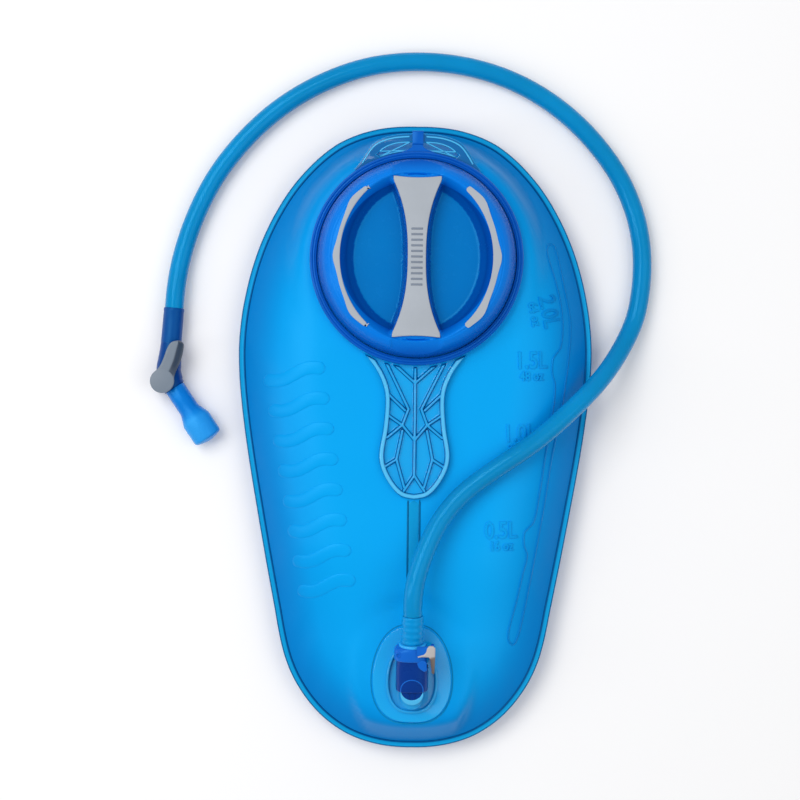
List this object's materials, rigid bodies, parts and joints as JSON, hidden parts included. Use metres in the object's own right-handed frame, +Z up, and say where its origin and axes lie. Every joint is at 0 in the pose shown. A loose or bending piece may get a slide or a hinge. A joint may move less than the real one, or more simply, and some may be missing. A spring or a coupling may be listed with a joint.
{
  "type": "hydration bladder",
  "caption": "Flat flexible water bag with a screw cap on a wide neck, a plug-in drink hose, a shut-off lever and a bite valve.",
  "frame": {"origin": "on the floor under the middle of the bag, which lies on its back", "axes": "+X to the bag's right, +Y along the bag to the cap's end, +Z up, out of the bag's front"},
  "size_m": [0.2785, 0.3875, 0.0552],
  "materials": {
    "film": "smooth flexible film, lightly see-through",
    "clear_moulding": "clear flexible moulding, glossy",
    "cap_plastic": "satin moulded",
    "grip_rubber": "matt soft overmould",
    "connector_plastic": "satin moulded",
    "button_plastic": "satin moulded",
    "lever_plastic": "satin moulded",
    "valve_plastic": "smooth moulded",
    "hose_tube": "clear tinted flexible tube",
    "cuff_rubber": "smooth, lightly see-through",
    "sleeve_rubber": "smooth satin",
    "silicone": "soft silicone, lightly see-through",
    "seal_rubber": "matt",
    "spring_steel": "drawn wire"
  },
  "bodies": {
    "reservoir": {"back_film": "film", "front_film": "film", "centre_baffle": "film", "fill_collar": "clear_moulding", "tether_anchor": "cap_plastic", "tether_strap": "cap_plastic", "port_base": "clear_moulding", "port_spigot": "connector_plastic", "spigot_oring": "seal_rubber", "check_valve_spring": "spring_steel"},
    "tether_ring": {"tether_ring": "cap_plastic"},
    "cap": {"cap_shell": "cap_plastic", "cap_handle_grip": "grip_rubber", "cap_grip_left": "grip_rubber", "cap_grip_right": "grip_rubber", "cap_gasket": "seal_rubber"},
    "check_valve": {"check_valve_poppet": "valve_plastic", "poppet_seal": "seal_rubber"},
    "drink_tube": {"connector_housing": "connector_plastic", "latch_spring": "spring_steel", "hose_cuff_lower": "cuff_rubber", "drink_hose": "hose_tube", "hose_cuff_upper": "sleeve_rubber", "shutoff_valve_body": "connector_plastic", "bite_valve": "silicone"},
    "latch": {"latch_button": "button_plastic"},
    "shutoff": {"shutoff_lever": "lever_plastic", "valve_core": "valve_plastic", "core_oring_bottom": "seal_rubber", "core_oring_top": "seal_rubber"}
  },
  "joints": [
    {"name": "cap_lift", "type": "slide", "parent": "reservoir", "child": "tether_ring", "axis": [0, 0, 1], "range_m": [0, 0.01401], "deforming": ["tether_strap"]},
    {"name": "cap_turn", "type": "hinge", "parent": "tether_ring", "child": "cap", "pos_m": [0, 0.0976, 0.045], "axis": [0, 0, 1], "range_deg": [0, 630]},
    {"name": "tube_unplug", "type": "slide", "parent": "reservoir", "child": "drink_tube", "axis": [0, 0.9781, 0.2079], "range_m": [0, 0.0245]},
    {"name": "check_valve_close", "type": "slide", "parent": "reservoir", "child": "check_valve", "axis": [0, 0.9781, 0.2079], "range_m": [0, 0.003], "deforming": ["check_valve_spring"]},
    {"name": "latch_press", "type": "slide", "parent": "drink_tube", "child": "latch", "axis": [-1, 0, 0], "range_m": [0, 0.002], "stiffness_N_per_m": 500, "deforming": ["latch_spring"]},
    {"name": "lever_turn", "type": "hinge", "parent": "drink_tube", "child": "shutoff", "pos_m": [-0.1403, 0.0296, 0.0142], "axis": [0, 0, -1], "range_deg": [0, 90]}
  ],
  "couplings": [
    {"joint": "cap_lift", "follows": "cap_turn", "m_per_rad": 0.0012732},
    {"joint": "check_valve_close", "follows": "tube_unplug", "ratio": 0.12245}
  ]
}
